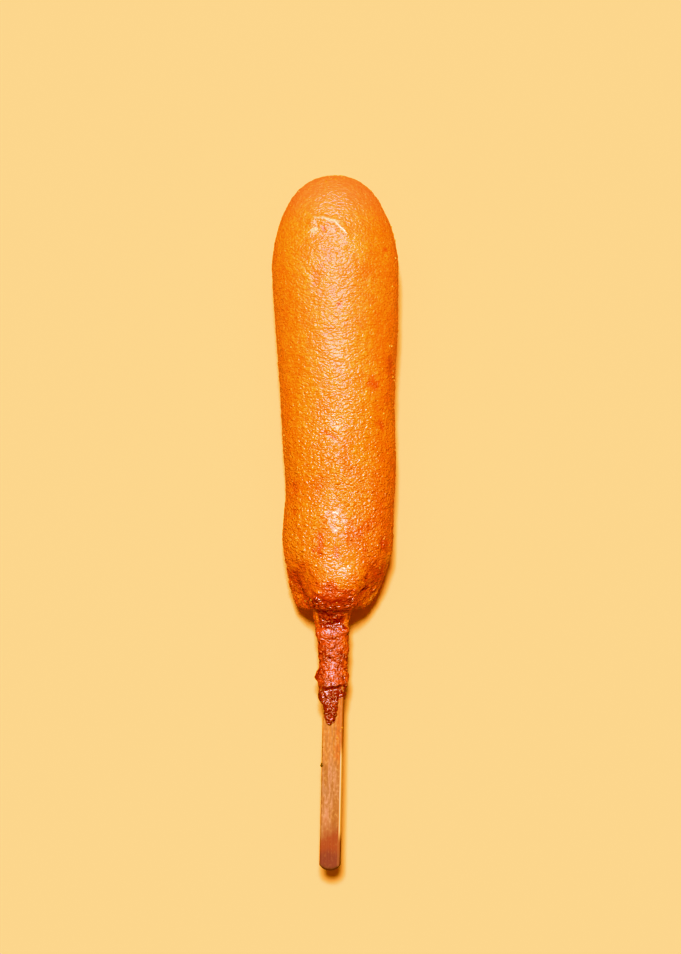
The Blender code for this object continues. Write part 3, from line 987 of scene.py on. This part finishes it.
class CrustSettings(bpy.types.PropertyGroup):
    """Sizes and colours of the fried crust."""

    pebble_size: length_setting("Pebble Size", "Width of the skin's pebbles", 0.95 * MM)
    pebble_height: length_setting(
        "Pebble Height", "How far the skin's pebbles stand out", 0.20 * MM,
    )
    blister_height: length_setting(
        "Blister Height", "How far blisters stand out towards the stick", 0.14 * MM,
    )
    collar_height: length_setting(
        "Collar Roughness", "How uneven the batter on the stick is", 0.27 * MM,
    )
    skin_depth: length_setting("Skin Grain", "Depth of the finest grain in the skin", 0.235 * MM)
    golden: colour_setting("Golden", "Lightest colour of the body", (0.95, 0.312, 0.034))
    deep_orange: colour_setting("Deep Orange", "Darker patches of the body", (0.94, 0.224, 0.020))
    chestnut: colour_setting("Chestnut", "Well-browned crust", (0.62, 0.064, 0.014))
    ruddy: colour_setting("Ruddy", "Lightly browned crust", (0.92, 0.115, 0.012))
    # In the creases this colour also serves as painted shade
    charred: colour_setting("Charred", "Darkest crust, in creases and drips", (0.30, 0.010, 0.008))
    # Painted shade: darker skin between the pebbles
    painted_hollow_shade: colour_setting("Painted Hollow Shade", "Skin between the pebbles", (0.50, 0.098, 0.012))
    # Painted sheen on the nose's tip
    painted_nose_sheen: colour_setting("Painted Nose Sheen", "Painted sheen at the nose's tip", (0.84, 0.205, 0.115))
    # Also the colour of painted highlights and glow on pale marks
    meal: colour_setting("Cornmeal and Painted Highlight", "Pale specks of cornmeal, and painted highlights", (0.84, 0.52, 0.22))
    roughness: FloatProperty(
        name="Roughness", description="Roughness of the body's skin",
        default=0.40, min=0, max=1, subtype="FACTOR",
    )
    gloss: FloatProperty(
        name="Gloss", description="How strongly the oily skin shines",
        default=1.0, min=0, max=1, subtype="FACTOR",
    )


class StickSettings(bpy.types.PropertyGroup):
    """Sizes and colours of the wooden stick."""

    grain_depth: length_setting("Grain Depth", "Depth of the grooves in the wood", 0.06 * MM)
    pale_wood: colour_setting("Pale Wood", "Lightest colour of the wood", (0.47, 0.222, 0.124))
    dark_grain: colour_setting("Dark Grain", "Darker streaks of the grain", (0.37, 0.140, 0.066))
    tan: colour_setting("Tan", "Duller patches of the wood", (0.39, 0.195, 0.118))
    fibre: colour_setting("Fibres", "Thin dark lines along the grain", (0.25, 0.082, 0.040))
    oiled: colour_setting(
        "Oiled Wood", "Wood that oil has soaked, by the batter", (0.50, 0.186, 0.054),
    )
    stain: colour_setting("Stain", "Orange stain of batter beside the drip", (0.50, 0.120, 0.030))
    reddened: colour_setting(
        "Reddened Wood", "Browned wood near the stick's end", (0.28, 0.043, 0.036),
    )
    end_grain: colour_setting("End Grain", "Darkest wood at the stick's end", (0.20, 0.034, 0.050))
    # Pale clean wood in specks, and painted light on the right narrow side
    bare_wood_and_lit_edge: colour_setting("Bare Wood and Lit Edge", "Clean wood, and painted light on one narrow side", (0.76, 0.50, 0.20))
    # Painted shade on the rim at the stick's end
    painted_end_shade: colour_setting("Painted End Shade", "Painted shade on the rim at the stick's end", (0.09, 0.018, 0.006))


class BitsSettings(bpy.types.PropertyGroup):
    """The loose crumbs and the cornmeal grits."""

    grits: IntProperty(
        name="Grits", description="How many cornmeal grits show in the skin",
        default=460, min=0, max=2000,
    )
    grit_size: length_setting("Grit Size", "Width of a cornmeal grit", 0.42 * MM)
    grit_colour: colour_setting("Grit Colour", "Colour of the cornmeal grits", (0.84, 0.54, 0.18))
    crumb_size: length_setting("Crumb Size", "Width of a larger crumb", 0.95 * MM)
    crumb_colour: colour_setting("Crumb Colour", "Lighter colour of the crumbs", (0.70, 0.32, 0.08))


class StageSettings(bpy.types.PropertyGroup):
    """Floor, light and camera."""

    floor_colour: colour_setting("Floor", "Colour of the pale floor", (0.90, 0.4888, 0.184))
    key_strength: FloatProperty(
        name="Key Strength", description="Strength of the soft light overhead",
        default=4.836, min=0,
    )
    key_colour: colour_setting(
        "Key Colour", "Colour of the soft light overhead", (0.972, 0.856, 1.0),
    )
    key_width: FloatProperty(
        name="Key Width", description="How wide the soft light looks from the corn dog",
        default=math.radians(9), unit="ROTATION",
    )
    fill_colour: colour_setting(
        "Fill Colour", "Warm even light from all round", (0.38, 0.129, 0.108),
    )
    view_height: length_setting("View Height", "Length that the view's height takes in", 0.2808)


class CORNDOG_OT_crust(bpy.types.Operator):
    """Make the fried batter: the body, its collar and the tongue down the stick"""

    bl_idname = "corn_dog.crust"
    bl_label = "Crust"

    def execute(self, context):
        crust = context.scene.corn_dog_crust
        add_piece("crust", make_crust(crust), crust_look(crust), "fried_batter")
        return {"FINISHED"}


class CORNDOG_OT_stick(bpy.types.Operator):
    """Make the flat wooden stick with its grain"""

    bl_idname = "corn_dog.stick"
    bl_label = "Stick"

    def execute(self, context):
        stick = context.scene.corn_dog_stick
        add_piece("stick", make_stick(stick), wood_look(stick), "wooden_stick")
        return {"FINISHED"}


class CORNDOG_OT_grits(bpy.types.Operator):
    """Set cornmeal grits into the body's skin; the crust comes first"""

    bl_idname = "corn_dog.grits"
    bl_label = "Grits"

    def execute(self, context):
        bits = context.scene.corn_dog_bits
        skin = bpy.data.objects["crust"].data
        chance = random.Random(GRIT_SEED)
        shape = bmesh.new()
        body = [
            face for face in skin.polygons
            if face.center.y > FACE_Y + 2 * MM and face.center.z > MM
        ]
        # The spin gives its points in the same order each run, but not its faces
        body.sort(key=lambda face: sorted(face.vertices))
        for face in chance.sample(body, bits.grits):
            size = bits.grit_size * (0.55 + 1.1 * chance.random() ** 3)
            add_lump(shape, face.center, face.normal, size, chance.random(), chance, 1)
        look = crumb_look("cornmeal_grit", bits.grit_colour, (0.72, 0.27, 0.04))
        add_piece("grits", shape, look, None)
        return {"FINISHED"}


class CORNDOG_OT_crumbs(bpy.types.Operator):
    """Put loose crumbs on the body's sides, the collar and the stick; the crust comes first"""

    bl_idname = "corn_dog.crumbs"
    bl_label = "Crumbs"

    def execute(self, context):
        bits = context.scene.corn_dog_bits
        chance = random.Random(CRUMB_SEED)
        shape = bmesh.new()
        solid = bmesh.new()
        for name in ("crust", "stick"):
            solid.from_mesh(bpy.data.objects[name].data)
        surface = BVHTree.FromBMesh(solid)
        solid.free()
        for x, y, z, share, toast in CRUMBS:
            place, normal, _, _ = surface.find_nearest(Vector((x, y, z)) * MM)
            add_lump(shape, place, normal, bits.crumb_size * share, toast, chance, 2)
        look = crumb_look("crust_crumb", bits.crumb_colour, (0.16, 0.055, 0.012))
        add_piece("crumbs", shape, look, None)
        return {"FINISHED"}


class CORNDOG_OT_stage(bpy.types.Operator):
    """Set up the pale floor, the soft light and the camera that looks straight down"""

    bl_idname = "corn_dog.stage"
    bl_label = "Stage"

    def execute(self, context):
        scene = context.scene
        stage = scene.corn_dog_stage
        view = scene.view_settings
        view.view_transform = "Standard"
        view.use_curve_mapping = True
        tone = view.curve_mapping
        tone.black_level = (0.0, 0.02, 0.0)
        tone.white_level = (RED_RANGE, 1.0, 1.0)
        for light_in, light_out in RED_TONE:
            tone.curves[0].points.new(light_in / RED_RANGE, light_out)
        for light_in, light_out in BLUE_TONE:
            tone.curves[2].points.new(light_in, light_out)
        tone.update()

        shape = bmesh.new()
        bmesh.ops.create_grid(shape, x_segments=1, y_segments=1, size=FLOOR_SIZE)
        mesh = bpy.data.meshes.new("floor")
        shape.to_mesh(mesh)
        shape.free()
        look = Look("pale_floor")
        duller = rgba([0.96 * part for part in stage.floor_colour])
        tint = look.mix(0.12 * look.noise(0.05, 3.0), rgba(stage.floor_colour), duller)
        look.finish(Base_Color=tint, Roughness=0.85, Specular_IOR_Level=0.1)
        mesh.materials.append(look.material)
        floor = bpy.data.objects.new("floor", mesh)
        floor.visible_glossy = False
        scene.collection.objects.link(floor)

        world = bpy.data.worlds.new("soft_room")
        world.use_nodes = True
        world.node_tree.nodes["Background"].inputs["Color"].default_value = rgba(stage.fill_colour)
        scene.world = world

        light = bpy.data.lights.new("soft_key", "SUN")
        light.angle = stage.key_width
        light.energy = stage.key_strength
        light.color = stage.key_colour
        towards = Vector((-math.tan(KEY_LEFT), math.tan(KEY_FORWARD), 1.0))
        key = bpy.data.objects.new("soft_key", light)
        key.location = AIM + towards
        key.rotation_euler = towards.to_track_quat("Z", "Y").to_euler()
        scene.collection.objects.link(key)

        eye = bpy.data.cameras.new("camera")
        eye.lens = LENS
        eye.sensor_width = SENSOR
        camera = bpy.data.objects.new("camera", eye)
        camera.location = AIM + Vector((0.0, 0.0, stage.view_height * LENS / SENSOR))
        scene.collection.objects.link(camera)
        scene.camera = camera
        return {"FINISHED"}


class CORNDOG_PT_panel(bpy.types.Panel):
    """Lists the corn dog's pieces and what can be changed on them"""

    bl_idname = "CORNDOG_PT_panel"
    bl_label = "Corn Dog"
    bl_space_type = "VIEW_3D"
    bl_region_type = "UI"
    bl_category = "Corn Dog"

    def draw(self, context):
        for settings, operators in PANEL_ROWS:
            box = self.layout.box()
            group = getattr(context.scene, settings)
            for name in group.__annotations__:
                box.prop(group, name)
            for operator in operators:
                box.operator(operator)


PANEL_ROWS = (
    ("corn_dog_crust", ("corn_dog.crust",)),
    ("corn_dog_stick", ("corn_dog.stick",)),
    ("corn_dog_bits", ("corn_dog.grits", "corn_dog.crumbs")),
    ("corn_dog_stage", ("corn_dog.stage",)),
)
SETTINGS = {
    "corn_dog_crust": CrustSettings,
    "corn_dog_stick": StickSettings,
    "corn_dog_bits": BitsSettings,
    "corn_dog_stage": StageSettings,
}
CLASSES = (
    *SETTINGS.values(),
    CORNDOG_OT_crust,
    CORNDOG_OT_stick,
    CORNDOG_OT_grits,
    CORNDOG_OT_crumbs,
    CORNDOG_OT_stage,
    CORNDOG_PT_panel,
)


def register():
    for cls in CLASSES:
        bpy.utils.register_class(cls)
    for name, settings in SETTINGS.items():
        setattr(bpy.types.Scene, name, PointerProperty(type=settings))


def unregister():
    for name in SETTINGS:
        delattr(bpy.types.Scene, name)
    for cls in reversed(CLASSES):
        bpy.utils.unregister_class(cls)


def main():
    register()
    bpy.ops.corn_dog.crust()
    bpy.ops.corn_dog.stick()
    bpy.ops.corn_dog.grits()
    bpy.ops.corn_dog.crumbs()
    bpy.ops.corn_dog.stage()


if __name__ == "__main__":
    main()
